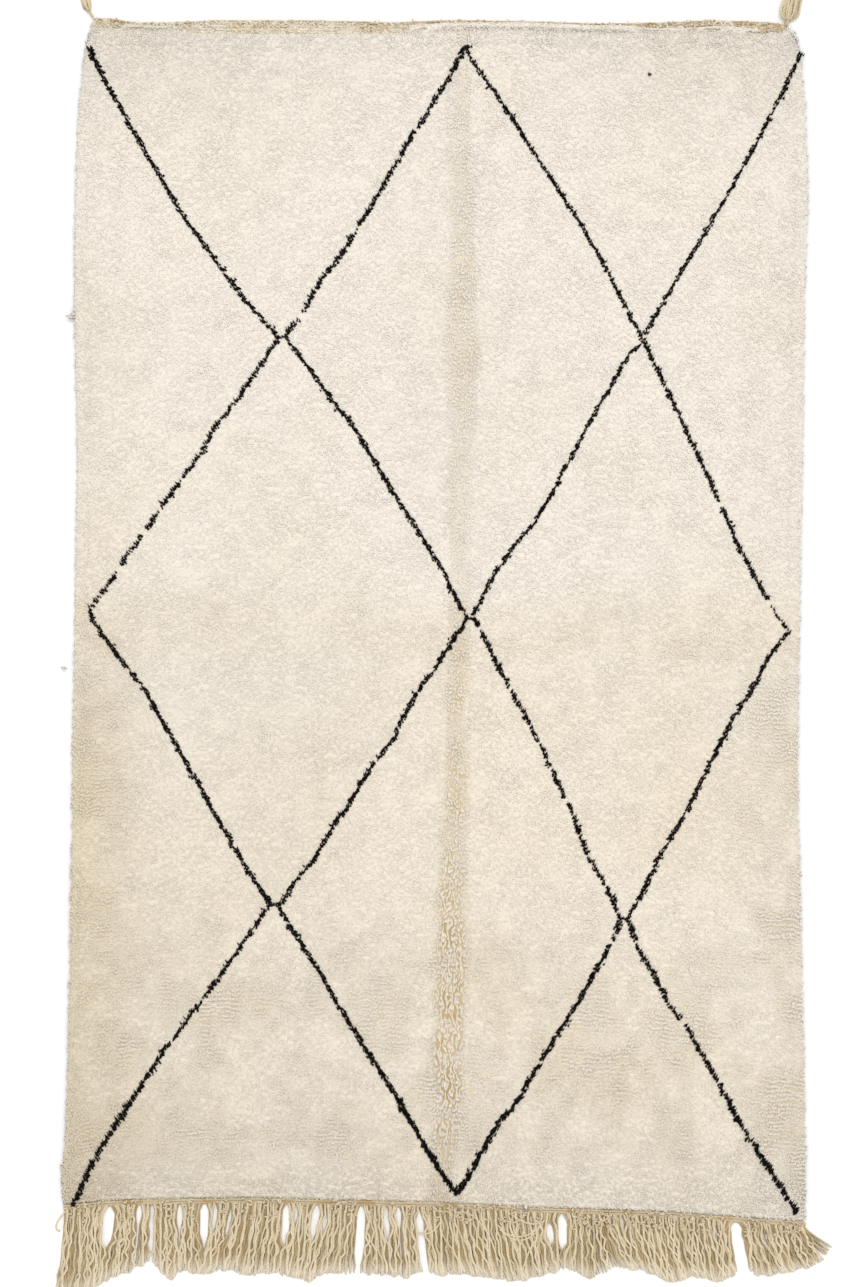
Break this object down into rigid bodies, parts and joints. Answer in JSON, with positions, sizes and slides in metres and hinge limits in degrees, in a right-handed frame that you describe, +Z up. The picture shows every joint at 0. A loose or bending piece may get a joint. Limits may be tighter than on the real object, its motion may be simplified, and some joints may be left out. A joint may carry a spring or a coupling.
{
  "type": "beni ourain rug",
  "caption": "Thick cream wool pile rug laid flat, with thin dark diamond lines, a rolled heading, a warp fringe at the foot and a cord tassel at each top corner.",
  "frame": {"origin": "middle of the pile field's flat underside, at the level of the floor", "axes": "+Y along the rug from the fringe to the rolled heading, +Z up out of the pile, +X to the right as seen from above with the fringe nearest"},
  "size_m": [1.646, 2.7592, 0.018],
  "materials": {
    "wool_pile": "matte cut wool pile, cream, with near-black knots along the diamond lines",
    "heading": "matte flat-woven and twined wool warp, tan",
    "warp_yarn": "matte two-ply wool yarn, tan"
  },
  "bodies": {
    "root": {"pile_field": "wool_pile", "heading_top": "heading", "heading_foot": "heading", "fringe": "warp_yarn", "tassel_left": "warp_yarn", "tassel_right": "warp_yarn"}
  },
  "joints": []
}
